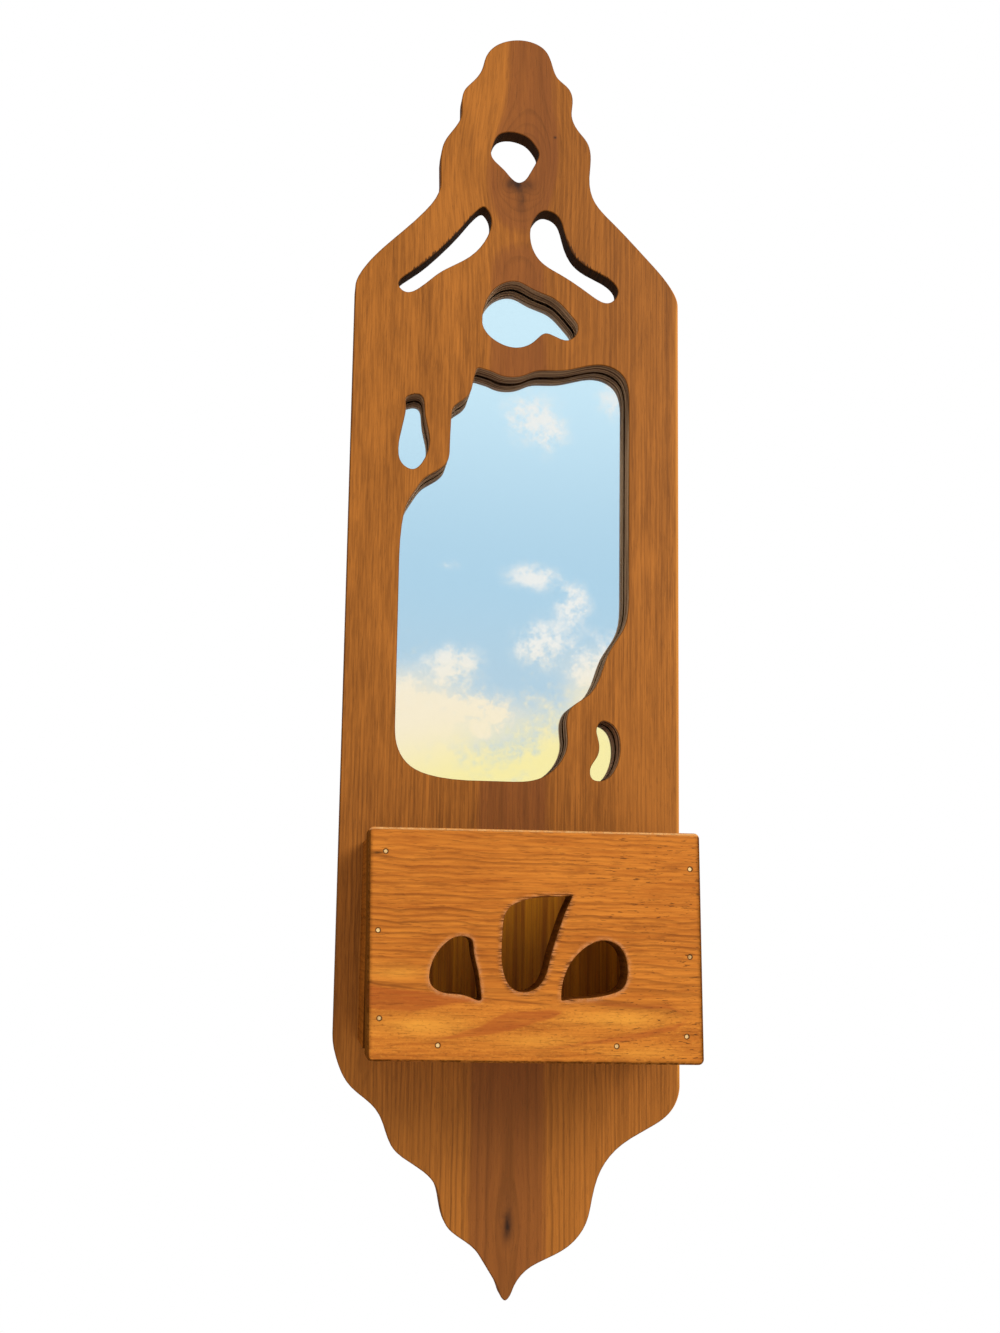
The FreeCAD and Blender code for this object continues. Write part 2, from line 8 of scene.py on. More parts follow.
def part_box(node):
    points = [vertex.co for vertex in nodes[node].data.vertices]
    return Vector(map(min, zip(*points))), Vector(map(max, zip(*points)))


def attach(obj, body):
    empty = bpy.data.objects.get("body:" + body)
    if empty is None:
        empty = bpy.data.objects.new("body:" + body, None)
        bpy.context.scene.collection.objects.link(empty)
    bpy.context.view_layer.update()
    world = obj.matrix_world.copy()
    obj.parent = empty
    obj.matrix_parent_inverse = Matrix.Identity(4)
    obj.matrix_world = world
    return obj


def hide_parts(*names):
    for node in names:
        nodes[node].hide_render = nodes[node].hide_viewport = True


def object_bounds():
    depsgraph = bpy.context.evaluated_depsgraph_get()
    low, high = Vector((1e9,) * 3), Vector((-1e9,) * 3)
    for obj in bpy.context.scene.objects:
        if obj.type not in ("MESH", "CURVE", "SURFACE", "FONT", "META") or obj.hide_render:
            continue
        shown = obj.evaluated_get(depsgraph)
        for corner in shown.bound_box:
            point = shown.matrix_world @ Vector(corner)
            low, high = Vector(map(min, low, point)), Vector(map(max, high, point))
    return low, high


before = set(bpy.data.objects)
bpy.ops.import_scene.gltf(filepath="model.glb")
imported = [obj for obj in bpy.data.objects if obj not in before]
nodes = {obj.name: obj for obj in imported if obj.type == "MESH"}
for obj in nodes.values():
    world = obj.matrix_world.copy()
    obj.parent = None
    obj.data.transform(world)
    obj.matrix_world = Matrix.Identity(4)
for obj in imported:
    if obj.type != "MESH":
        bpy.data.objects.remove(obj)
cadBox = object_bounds()
print("frame loaded:", len(nodes), "nodes")


# a shader socket that does arithmetic

class Wire:
    def __init__(self, tree, socket=None):
        self.tree = tree
        self.socket = socket

    def node(self, kind, settings=None, inputs=None, out=0):
        made = self.tree.nodes.new(kind)
        for name, value in (settings or {}).items():
            setattr(made, name, value)
        for name, value in (inputs or {}).items():
            if isinstance(value, Wire):
                self.tree.links.new(value.socket, made.inputs[name])
            else:
                made.inputs[name].default_value = value
        return Wire(self.tree, made.outputs[out])

    def other(self, out):      # another output of the same node
        return Wire(self.tree, self.socket.node.outputs[out])

    def math(self, operation, *others):
        return self.node("ShaderNodeMath", {"operation": operation}, dict(enumerate((self, *others))))

    def __add__(self, value):
        return self.math("ADD", value)

    def __sub__(self, value):
        return self.math("SUBTRACT", value)

    def __mul__(self, value):
        return self.math("MULTIPLY", value)

    def __truediv__(self, value):
        return self.math("DIVIDE", value)

    def __rsub__(self, value):
        return self.math("MULTIPLY_ADD", -1.0, value)

    def __neg__(self):
        return self.math("MULTIPLY", -1.0)

    def __abs__(self):
        return self.math("ABSOLUTE")

    __radd__ = __add__
    __rmul__ = __mul__

    def root(self):
        return self.math("SQRT")

    def most(self, value):
        return self.math("MAXIMUM", value)

    def least(self, value):
        return self.math("MINIMUM", value)

    def decay(self):
        return (-self).math("EXPONENT")

    def rise(self, low, high):      # 0 below low, 1 above high, smooth between
        return self.node("ShaderNodeMapRange", {"interpolation_type": "SMOOTHSTEP"},
                         {"Value": self, "From Min": low, "From Max": high})

    def fall(self, low, high):
        return 1.0 - self.rise(low, high)

    def ramp(self, low, high, gain):      # straight from 0 at low to gain at high
        return self.node("ShaderNodeMapRange", {}, {
            "Value": self, "From Min": low, "From Max": high, "To Max": gain})

    def blend(self, first, second):      # this wire is the factor
        return self.node("ShaderNodeMix", {"data_type": "RGBA"}, {0: self, 6: first, 7: second}, 2)

    def stretched(self, factors):
        return self.node("ShaderNodeVectorMath", {"operation": "MULTIPLY"}, {0: self, 1: factors})

    def noise(self, factors, detail=2.0, roughness=0.5):
        return self.node("ShaderNodeTexNoise", {}, {
            "Vector": self.stretched(factors), "Scale": 1.0, "Detail": detail, "Roughness": roughness})

    def lineNoise(self, factor):      # noise along one number
        return self.node("ShaderNodeTexNoise", {"noise_dimensions": "1D"}, {
            "W": self * factor, "Scale": 1.0, "Detail": 1.0})

    def axes(self):
        first = self.node("ShaderNodeSeparateXYZ", {}, {0: self}, "X")
        return {"X": first, "Y": first.other("Y"), "Z": first.other("Z")}


def paint(red, green, blue):      # a colour as a screen shows it, 0 to 255
    def plain(value):
        share = value / 255
        return share / 12.92 if share < 0.04045 else ((share + 0.055) / 1.055) ** 2.4
    return (plain(red), plain(green), plain(blue), 1.0)


def newMaterial(name):
    material = bpy.data.materials.new(name)
    material.use_nodes = True
    tree = material.node_tree
    place = Wire(tree).node("ShaderNodeTexCoord", out="Object")
    return material, tree.nodes["Principled BSDF"], place


def plug(shader, values):
    for name, value in values.items():
        if isinstance(value, Wire):
            value.tree.links.new(value.socket, shader.inputs[name])
        else:
            shader.inputs[name].default_value = value


def bumpFrom(height, strength, distance):
    return height.node("ShaderNodeBump", {}, {"Strength": strength, "Distance": distance, "Height": height})


def dress(material, *names):
    for name in names:
        node = nodes[name]
        node.data.materials.clear()
        node.data.materials.append(material)


def finishMesh(name, shape, material):
    mesh = bpy.data.meshes.new(name)
    shape.to_mesh(mesh)
    shape.free()
    mesh.materials.append(material)
    piece = bpy.data.objects.new(name, mesh)
    bpy.context.scene.collection.objects.link(piece)
    return piece


# camera, where the photograph was taken from

cameraSetup = {
    "spot": (-0.1282, -0.9679, -0.5147),
    "right": (0.99174, -0.12751, 0.01469),
    "ahead": (0.12376, 0.98030, 0.15397),
    "focalPixels": 1614.5,
    "imageHeight": 1333,
    "sensor": 36.0,
    "nearest": 0.01,
}


def placeCamera(setup):
    data = bpy.data.cameras.new("photoCamera")
    data.sensor_width = setup["sensor"]      # along the picture's long side
    data.lens = setup["focalPixels"] / setup["imageHeight"] * setup["sensor"]
    data.clip_start = setup["nearest"]
    camera = bpy.data.objects.new("photoCamera", data)
    bpy.context.scene.collection.objects.link(camera)
    ahead = Vector(setup["ahead"]).normalized()
    right = Vector(setup["right"]).normalized()
    up = right.cross(ahead)
    turn = Matrix((right, up, -ahead)).transposed().to_4x4()
    camera.matrix_world = Matrix.Translation(Vector(setup["spot"])) @ turn
    bpy.context.scene.camera = camera


placeCamera(cameraSetup)
bpy.context.scene.view_settings.view_transform = "Standard"
print("camera placed")


# light: a soft room and one large lamp on the right, with an evening sky that only mirrors and glass see

lightSetup = {
    "roomLight": 0.64,
    "lampSpot": (1.20, -1.45, 0.55),
    "lampAim": (0.0, 0.0, -0.40),
    "lampSize": 1.1,
    "lampPower": 24.0,
    "skyHigh": paint(212, 241, 255),
    "skyMiddle": paint(180, 215, 237),
    "skyLow": paint(186, 212, 229),
    "whiteCloud": paint(243, 243, 241),
    "creamCloud": paint(254, 240, 212),
    "horizon": paint(255, 241, 172),
    "ground": paint(226, 220, 208),
    "highBand": (0.2, 0.4), "middleBand": (0.12, 0.22), "whiteBand": (0.125, 0.185),      # slopes up
    "lowBand": (0.105, 0.170), "glowBand": (-0.105, -0.050), "groundBand": (-0.12, 0.02),
    "veil": 0.5, "veilBand": (0.36, 0.5),      # thin cloud high up
    "wispRate": (84.0, 84.0, 96.0), "tatter": 0.13, "glowLean": 0.3, "leastOut": 0.25,
    "dipRight": 0.125, "dipWide": 0.035, "dipDeep": 0.028,      # where the blue comes lower
    "puffs": [      # how far right and up of straight out, as slopes
        {"right": 0.141, "up": 0.321, "wide": 0.016, "tall": 0.018, "thick": 0.90},
        {"right": 0.158, "up": 0.313, "wide": 0.013, "tall": 0.018, "thick": 0.65},
        {"right": 0.198, "up": 0.337, "wide": 0.012, "tall": 0.018, "thick": 0.70},
        {"right": 0.093, "up": 0.2215, "wide": 0.008, "tall": 0.004, "thick": 0.50},
        {"right": 0.147, "up": 0.216, "wide": 0.018, "tall": 0.009, "thick": 0.95},
        {"right": 0.173, "up": 0.199, "wide": 0.011, "tall": 0.012, "thick": 1.10},
        {"right": 0.153, "up": 0.172, "wide": 0.018, "tall": 0.015, "thick": 1.10},
        {"right": 0.192, "up": 0.155, "wide": 0.019, "tall": 0.024, "thick": 1.15},
        {"right": 0.098, "up": 0.160, "wide": 0.016, "tall": 0.011, "thick": 0.95},
        {"right": 0.066, "up": 0.128, "wide": 0.034, "tall": 0.024, "thick": 1.40},
        {"right": 0.112, "up": 0.124, "wide": 0.036, "tall": 0.016, "thick": 1.00},
        {"right": 0.200, "up": 0.128, "wide": 0.022, "tall": 0.026, "thick": 1.10},
    ],
}


def eveningSky(heading, setup):
    axes = heading.axes()
    out = (-axes["Y"]).most(setup["leastOut"])
    right = axes["X"] / out
    up = axes["Z"] / out
    sky = up.rise(*setup["highBand"]).blend(setup["skyMiddle"], setup["skyHigh"])
    sky = up.rise(*setup["middleBand"]).blend(setup["skyLow"], sky)
    wisps = heading.noise(setup["wispRate"], 7.0, 0.72)
    thick = heading.noise((3.0, 3.0, 7.0), 3.0).rise(0.56, 0.8) * setup["veil"] * up.rise(*setup["veilBand"])
    for puff in setup["puffs"]:
        side = (right - puff["right"]) / puff["wide"]
        lift = (up - puff["up"]) / puff["tall"]
        thick = thick + (side * side + lift * lift).decay() * puff["thick"]
    cloud = (thick * (wisps.rise(0.25, 0.75) * 1.45 + 0.1)).rise(0.1, 1.0)
    white = (up + (wisps - 0.5) * 0.03).rise(*setup["whiteBand"])
    sky = cloud.blend(sky, white.blend(setup["creamCloud"], setup["whiteCloud"]))
    dip = (right - setup["dipRight"]) / setup["dipWide"]
    edge = up + (dip * dip).decay() * setup["dipDeep"] + (wisps - 0.5) * setup["tatter"]
    low = edge.fall(*setup["lowBand"])
    glow = (right * setup["glowLean"] - up).rise(*setup["glowBand"])
    sky = low.blend(sky, glow.blend(setup["creamCloud"], setup["horizon"]))
    return up.fall(*setup["groundBand"]).blend(sky, setup["ground"])


def lightRoom(setup):
    lamp = bpy.data.lights.new("softLamp", "AREA")
    lamp.shape = "SQUARE"
    lamp.size = setup["lampSize"]
    lamp.energy = setup["lampPower"]
    holder = bpy.data.objects.new("softLamp", lamp)
    bpy.context.scene.collection.objects.link(holder)
    spot = Vector(setup["lampSpot"])
    aim = (Vector(setup["lampAim"]) - spot).to_track_quat("-Z", "Y")
    holder.matrix_world = Matrix.Translation(spot) @ aim.to_matrix().to_4x4()

    world = bpy.data.worlds.new("room")
    world.use_nodes = True
    bpy.context.scene.world = world
    tree = world.node_tree
    start = Wire(tree)
    heading = start.node("ShaderNodeTexCoord", out="Generated")
    straight = start.node("ShaderNodeLightPath", out="Is Camera Ray")
    mirrored = straight.other("Is Glossy Ray").most(straight.other("Is Transmission Ray"))
    level = setup["roomLight"]
    seen = mirrored.blend((level, level, level, 1.0), eveningSky(heading, setup))
    seen = straight.blend(seen, (1.0, 1.0, 1.0, 1.0))
    plug(tree.nodes["Background"], {"Color": seen})


lightRoom(lightSetup)
print("lights set")


# floor, a pale disc well below the hanging board

floorSetup = {"radius": 1.5, "drop": 0.9, "sides": 96, "fade": (0.75, 0.99),
              "plaster": paint(236, 234, 230), "patch": paint(229, 226, 221)}


def layFloor(setup):
    material, shader, place = newMaterial("palePlaster")
    flat = place.stretched((1.0, 1.0, 0.0))
    reach = flat.node("ShaderNodeVectorMath", {"operation": "LENGTH"}, {0: flat}, "Value") / setup["radius"]
    mottle = place.noise((3.0, 3.0, 3.0), 4.0)
    plug(shader, {
        "Base Color": mottle.blend(setup["plaster"], setup["patch"]),
        "Roughness": 0.9,
        "Alpha": reach.fall(*setup["fade"]),
        "Normal": bumpFrom(mottle, 0.1, 0.002),
    })
    shape = bmesh.new()
    bmesh.ops.create_circle(shape, cap_ends=True, segments=setup["sides"], radius=setup["radius"])
    bmesh.ops.translate(shape, verts=shape.verts, vec=(0.0, 0.0, cadBox[0][2] - setup["drop"]))
    finishMesh("floor", shape, material)


layFloor(floorSetup)
print("floor laid")


# wood: a plank's growth rings, as a solid pattern round a pith behind its face

woodTexture = {      # repeats in a metre, along the grain and across it
    "slow": (2.6, 11.0), "quickAcross": 80.0, "fade": (8.0, 70.0), "ringWobble": 90.0,
    "fibre": (42.0, 820.0), "streak": (5.5, 300.0), "cloud": (13.0, 60.0), "pore": (120.0, 1300.0),
    "darkest": 0.88,      # where in a ring its late line is darkest, as a share of the ring
    "streakShare": 0.24, "cloudShare": 0.32, "fibreShare": 0.44,
}


def grainWise(plank, lengthwise, crosswise):
    factors = {"X": crosswise, "Y": crosswise, "Z": crosswise}
    factors[plank["grain"]] = lengthwise
    return tuple(factors.values())


def farFrom(across, along, spot):      # squared distance, as a share of the spot's half width and half height
    side = (across - spot["across"]) / spot["wide"]
    lift = (along - spot["along"]) / spot["tall"]
    return side * side + lift * lift


def ringPattern(place, plank, texture=woodTexture):
    axes = place.axes()
    along, across, through = axes[plank["grain"]], axes[plank["width"]], axes[plank["thickness"]]
    slow = place.noise(grainWise(plank, *texture["slow"]))
    quick = place.noise(grainWise(plank, plank["rippleRate"], texture["quickAcross"]), 1.0)
    wander = (slow - 0.5) * plank["wander"] + (quick - 0.5) * plank["ripple"]
    side = across - plank["pithAcross"] + along * plank["slope"] + wander
    side = side - along.rise(*plank["shiftOver"]) * plank["pithShift"]
    deep = (through - plank["face"]) * plank["inward"] + plank["pithDepth"] + along * plank["taper"]
    radius = (side * side + deep * deep).root()
    for knot in plank["knots"]:
        radius = radius - farFrom(across, along, knot).decay() * knot["pull"]
    flow = across
    for bend in plank["bends"]:      # fibres that part round a knot
        flow = flow - (across - bend["across"]) * farFrom(across, along, bend).decay() * bend["part"]
    flowing = place.node("ShaderNodeCombineXYZ", {}, {**axes, plank["width"]: flow})
    ring = radius / plank["ringWidth"] + (radius.lineNoise(texture["ringWobble"]) - 0.5) * plank["uneven"]
    saw = ring.math("FRACT")
    chance = ring.node("ShaderNodeTexWhiteNoise", {"noise_dimensions": "1D"}, {"W": ring.math("FLOOR")})
    fade = place.noise(grainWise(plank, *texture["fade"]), 2.0).rise(0.3, 0.7)
    late = saw.rise(plank["lineFrom"], texture["darkest"]) * saw.fall(texture["darkest"], 1.0)
    late = late * (chance * 0.7 + 0.3) * (fade * 0.6 + 0.4)
    fibre = flowing.noise(grainWise(plank, *texture["fibre"]), 3.0, 0.7)
    streak = flowing.noise(grainWise(plank, *texture["streak"]), 4.0, 0.65)
    cloudy = flowing.noise(grainWise(plank, *texture["cloud"]), 3.0, 0.6)
    pores = flowing.noise(grainWise(plank, *texture["pore"]), 1.0).rise(0.62, 0.72)
    tone = streak.rise(0.2, 0.8) * texture["streakShare"] + cloudy.rise(0.25, 0.75) * texture["cloudShare"]
    tone = tone + fibre.rise(0.3, 0.7) * texture["fibreShare"]
    return {"along": along, "across": across, "radius": radius, "late": late,
            "fibre": fibre, "streak": streak, "pores": pores, "tone": tone}


def stained(wood, finish):
    colour = wood["tone"].blend(finish["brown"], finish["golden"])
    colour = (wood["late"] * finish["lineDepth"]).blend(colour, finish["lateLine"])
    return (wood["pores"] * finish["poreDepth"]).blend(colour, finish["lateLine"])


def lineHeight(run, corners):      # a line from corner to corner, read at run
    level = corners[0][1]
    for (left, start), (right, end) in zip(corners, corners[1:]):
        level = run.ramp(left, right, end - start) + level
    return level


def facing(place):
    return place.node("ShaderNodeTexCoord", out="Normal").axes()


def sawTeeth(place):      # fine marks that run through the thickness of a sawn wall
    return place.noise((420.0, 30.0, 420.0), 2.0, 0.6)


plainPlank = {"pithShift": 0.0, "shiftOver": (0.0, 1.0), "knots": [], "bends": []}


# the scroll-sawn board: brown stained softwood with a red heart down the middle

boardFinish = {
    "grain": "Z", "width": "X", "thickness": "Y",
    "face": -0.018, "inward": 1.0,
    "pithAcross": 0.0005, "pithDepth": 0.0300, "slope": 0.0, "taper": 0.0062,
    "pithShift": 0.0060, "shiftOver": (-0.060, -0.010),
    "wander": 0.006, "ripple": 0.0024, "rippleRate": 22.0,
    "ringWidth": 0.0026, "uneven": 1.3, "lineFrom": 0.45,
    "knots": [      # the eye round the hanging hole, and the knot in the foot
        {"across": 0.0028, "along": -0.0425, "wide": 0.0189, "tall": 0.0245, "pull": 0.0125},
        {"across": -0.0090, "along": -0.0600, "wide": 0.0050, "tall": 0.0065, "pull": 0.0050},
        {"across": 0.0105, "along": -0.0590, "wide": 0.0050, "tall": 0.0075, "pull": 0.0050},
        {"across": 0.0000, "along": -0.0930, "wide": 0.0300, "tall": 0.0130, "pull": -0.0045},
        {"across": 0.0006, "along": -0.6880, "wide": 0.0057, "tall": 0.0143, "pull": 0.0025},
    ],
    "bends": [
        {"across": 0.0030, "along": -0.0450, "wide": 0.0420, "tall": 0.0480, "part": 0.42},
        {"across": 0.0006, "along": -0.6880, "wide": 0.0120, "tall": 0.0240, "part": 0.40},
    ],
    "golden": paint(201, 122, 45), "brown": paint(125, 70, 20), "lateLine": paint(90, 50, 15),
    "lineDepth": 0.46, "poreDepth": 0.16,
    "plainLines": 0.4, "footLines": 0.8, "footFrom": (-0.46, -0.38), "eyeLines": 0.6, "eyeFrom": (-0.2, -0.1),
    "heart": paint(133, 73, 34), "heartRadius": 0.0336, "heartEdge": 0.0015, "heartBlur": 0.0040,
    "rightHalf": (-0.004, 0.020), "shadeOver": (-0.330, -0.150), "shadeDepth": 0.36,
    "threadRate": (800.0, 300.0, 3.0), "combBelow": (-0.43, -0.40), "paleThreads": 0.30, "brownThreads": 0.36,
    "lights": [      # where the stain took less; the wide last one, over the foot, is painted light that brightens the foot
        {"across": -0.0240, "along": 0.0050, "wide": 0.0220, "tall": 0.0400, "depth": 0.45},
        {"across": -0.0420, "along": -0.0750, "wide": 0.0200, "tall": 0.0300, "depth": 0.30},
        {"across": 0.0870, "along": -0.4450, "wide": 0.0240, "tall": 0.0500, "depth": 0.50},
        {"across": 0.0000, "along": -0.6800, "wide": 0.1500, "tall": 0.0900, "depth": 0.50},
    ],
    "burn": paint(46, 28, 20),
    "smudges": [      # below the hanging hole, in the knot of the foot, and one small dot
        {"across": 0.0000, "along": -0.0580, "wide": 0.0080, "tall": 0.0042, "depth": 0.95},
        {"across": 0.0010, "along": -0.0670, "wide": 0.0032, "tall": 0.0100, "depth": 0.60},
        {"across": -0.0042, "along": -0.0555, "wide": 0.0034, "tall": 0.0060, "depth": 0.60},
        {"across": 0.0006, "along": -0.6880, "wide": 0.0021, "tall": 0.0062, "depth": 1.00},
        {"across": 0.0006, "along": -0.6850, "wide": 0.0046, "tall": 0.0150, "depth": 0.50},
        {"across": 0.0220, "along": -0.0245, "wide": 0.0009, "tall": 0.0009, "depth": 1.00},
    ],
    "sawnWall": paint(50, 27, 9), "sawBurn": paint(20, 10, 4),
    "rawWall": paint(170, 134, 102), "rawBand": paint(82, 58, 40), "mirrorLitWall": paint(206, 166, 128),
    "windowHalf": (0.084, 0.088), "windowTop": (-0.146, -0.142), "windowLow": (-0.446, -0.440),
    "fishMiddle": 0.008, "fishHalf": (0.038, 0.042), "fishLow": (-0.180, -0.170),
    "fishTop": [      # the line between the fish and the leaf over it
        (-0.030, -0.118), (0.000, -0.118), (0.022, -0.1235), (0.044, -0.141)],
    "edgeWood": paint(116, 64, 22), "edgeDark": paint(84, 44, 14),
    "sawnReach": [      # height and half width that hold the openings; walls beyond are outer edges
        (-0.460, 0.0), (-0.450, 0.088), (-0.130, 0.086), (-0.100, 0.062), (-0.070, 0.036), (-0.020, 0.026),
        (-0.012, 0.0)],
    "paintedEdgeGlint": paint(232, 150, 60), "edgeFrom": 0.0994, "edgeTop": (-0.14, -0.12), "edgeLow": (-0.62, -0.6),
    "inBoxDark": paint(150, 84, 10), "inBoxLight": paint(230, 150, 20), "inBoxDepth": 0.7,
    "inBoxHalf": (0.078, 0.080), "inBoxLow": (-0.590, -0.586), "inBoxHigh": (-0.500, -0.470),
    "varnish": 0.2, "varnishRough": 0.42,
    "tornEnd": 0.002,
    "torn": [      # upper edges that splintered under the saw: the line, and how high the splinters reach
        {"reach": 0.0030, "corners": [
            (-0.0720, -0.1250), (-0.0680, -0.1204), (-0.0500, -0.1043), (-0.0360, -0.0883),
            (-0.0290, -0.0795)]},
        {"reach": 0.0030, "corners": [
            (0.0290, -0.0900), (0.0370, -0.1050), (0.0475, -0.1117), (0.0590, -0.1180), (0.0620, -0.1225)]},
        {"reach": 0.0022, "corners": [
            (-0.0686, -0.2050), (-0.0665, -0.1995), (-0.0590, -0.1995), (-0.0568, -0.2100)]},
    ],
}


def overMirror(across, along, finish):      # the openings with a mirror behind them
    large = abs(across).fall(*finish["windowHalf"]) * along.fall(*finish["windowTop"])
    large = large * along.rise(*finish["windowLow"])
    small = (lineHeight(across, finish["fishTop"]) - along).rise(-0.001, 0.001)
    small = small * abs(across - finish["fishMiddle"]).fall(*finish["fishHalf"])
    return large.most(small * along.rise(*finish["fishLow"]))


def splinters(place, across, along, finish):
    hairs = place.noise((1000.0, 0.0, 90.0), 2.0, 0.6).rise(0.35, 0.75)
    end = finish["tornEnd"]
    found = None
    for edge in finish["torn"]:
        left, right = edge["corners"][0][0], edge["corners"][-1][0]
        above = along - lineHeight(across, edge["corners"])
        inside = across.rise(left, left + end) * across.fall(right - end, right)
        mark = (hairs * edge["reach"] - above).rise(0.0, 0.0009) * above.rise(-0.004, -0.002) * inside
        found = found.most(mark) if found else mark
    return found


def boardFace(place, wood, normal, finish):
    across, along = wood["across"], wood["along"]
    rightHalf = across.rise(*finish["rightHalf"])
    shade = rightHalf * along.rise(*finish["shadeOver"]) * finish["shadeDepth"]
    colour = wood["tone"].blend(finish["brown"], finish["golden"])
    colour = shade.blend(colour, finish["brown"])
    combed = rightHalf.most(along.fall(*finish["combBelow"]))
    threads = place.noise(finish["threadRate"], 2.0, 0.6)      # long straight lines of the grain
    colour = (threads.rise(0.50, 0.66) * combed * finish["paleThreads"]).blend(colour, finish["golden"])
    colour = (threads.fall(0.34, 0.50) * combed * finish["brownThreads"]).blend(colour, finish["brown"])
    # paler patches: thinner stain, and over the foot painted light
    for light in finish["lights"]:
        patch = farFrom(across, along, light).decay() * (0.4 + wood["streak"] * 1.2) * light["depth"]
        colour = patch.blend(colour, finish["golden"])
    radius, edge = finish["heartRadius"], finish["heartEdge"]
    blurred = wood["radius"] + (wood["streak"] - 0.5) * finish["heartBlur"]
    heart = blurred.fall(radius - edge, radius + edge)
    colour = (heart * (0.4 + wood["streak"] * 0.45)).blend(colour, finish["heart"])
    lines = finish["plainLines"] + along.fall(*finish["footFrom"]) * finish["footLines"]
    lines = lines + heart * along.rise(*finish["eyeFrom"]) * finish["eyeLines"]
    lines = lines * finish["lineDepth"]
    colour = (wood["late"] * lines).blend(colour, finish["lateLine"])
    colour = (wood["pores"] * finish["poreDepth"]).blend(colour, finish["lateLine"])
    blotch = place.noise((170.0, 170.0, 110.0), 3.0, 0.6).rise(0.2, 0.65)
    for smudge in finish["smudges"]:
        mark = farFrom(across, along, smudge).decay() * (0.35 + blotch * 0.65) * smudge["depth"]
        colour = mark.blend(colour, finish["burn"])
    # inside the box the board is painted paler and more olive: partly its own stain, partly painted light
    # that lifts the shaded recess
    boxed = abs(across).fall(*finish["inBoxHalf"]) * normal["Y"].fall(-0.7, -0.3)
    boxed = boxed * along.rise(*finish["inBoxLow"]) * along.fall(*finish["inBoxHigh"])
    inBoxStainAndLight = wood["streak"].rise(0.3, 0.7).blend(finish["inBoxDark"], finish["inBoxLight"])
    colour = (boxed * finish["inBoxDepth"]).blend(colour, inBoxStainAndLight)
    # painted highlight: a thin bright line down the right outer edge, where the light catches it
    rightEdgeGlint = across.rise(finish["edgeFrom"], finish["edgeFrom"] + 0.001)
    rightEdgeGlint = rightEdgeGlint * along.fall(*finish["edgeTop"]) * along.rise(*finish["edgeLow"])
    return (rightEdgeGlint * 0.7).blend(colour, finish["paintedEdgeGlint"])


def boardWalls(wood, normal, teeth, bands, finish):
    across, along = wood["across"], wood["along"]
    # painted light: walls that face sideways are painted paler, as the mirror throws the sky's light onto
    # them
    raw = abs(normal["X"]).rise(0.5, 0.95).blend(finish["rawWall"], finish["mirrorLitWall"])
    raw = bands.rise(0.40, 0.54).blend(finish["rawBand"], raw)
    marks = teeth.rise(0.35, 0.65)
    # walls of the openings without a mirror are painted near black: partly saw burn, partly painted shade
    # inside the cuts
    sawn = (marks * 0.7).blend(finish["sawnWall"], finish["sawBurn"])
    cut = overMirror(across, along, finish).blend(sawn, raw)
    outer = (abs(across) - lineHeight(along, finish["sawnReach"])).rise(0.0, 0.003)
    return outer.blend(cut, marks.blend(finish["edgeWood"], finish["edgeDark"]))


def makeBoardWood(finish):
    material, shader, place = newMaterial("stainedBoard")
    wood = ringPattern(place, finish)
    across, along = wood["across"], wood["along"]
    normal = facing(place)
    flat = abs(normal["Y"])
    wall = flat.fall(0.12, 0.5)
    arris = flat.rise(0.3, 0.6) * flat.fall(0.86, 0.99)
    teeth = sawTeeth(place)
    bands = place.noise((14.0, 560.0, 14.0), 2.0, 0.6)      # layers that show round a raw wall
    colour = boardFace(place, wood, normal, finish)
    colour = (splinters(place, across, along, finish) * 0.8).blend(colour, finish["sawnWall"])
    # the rounded front edges are painted darker: partly saw burn and dirt, partly painted shade
    colour = (arris * 0.55).blend(colour, finish["lateLine"])
    # painted highlight on the rounded right outer edge
    colour = (arris * normal["X"].rise(0.2, 0.6) * across.rise(0.09, 0.1)).blend(colour, finish["paintedEdgeGlint"])
    colour = (wall * 0.95).blend(colour, boardWalls(wood, normal, teeth, bands, finish))
    relief = wood["fibre"] * 0.5 - wood["late"] * 0.4 - wood["pores"] * 0.5 + (teeth + bands) * wall * 0.7
    plug(shader, {
        "Base Color": colour,
        "Roughness": 0.55 + wood["streak"] * 0.2 + wall * 0.2,
        "Specular IOR Level": 0.04,
        "Coat Weight": (1.0 - wall.most(arris)) * finish["varnish"],
        "Coat Roughness": finish["varnishRough"],
        "Normal": bumpFrom(relief, 0.4, 0.0005),
    })
    return material


dress(makeBoardWood(boardFinish), "backboard")
print("board dressed")


# the front panel: orange pine with raised grain across it and an arched figure low down

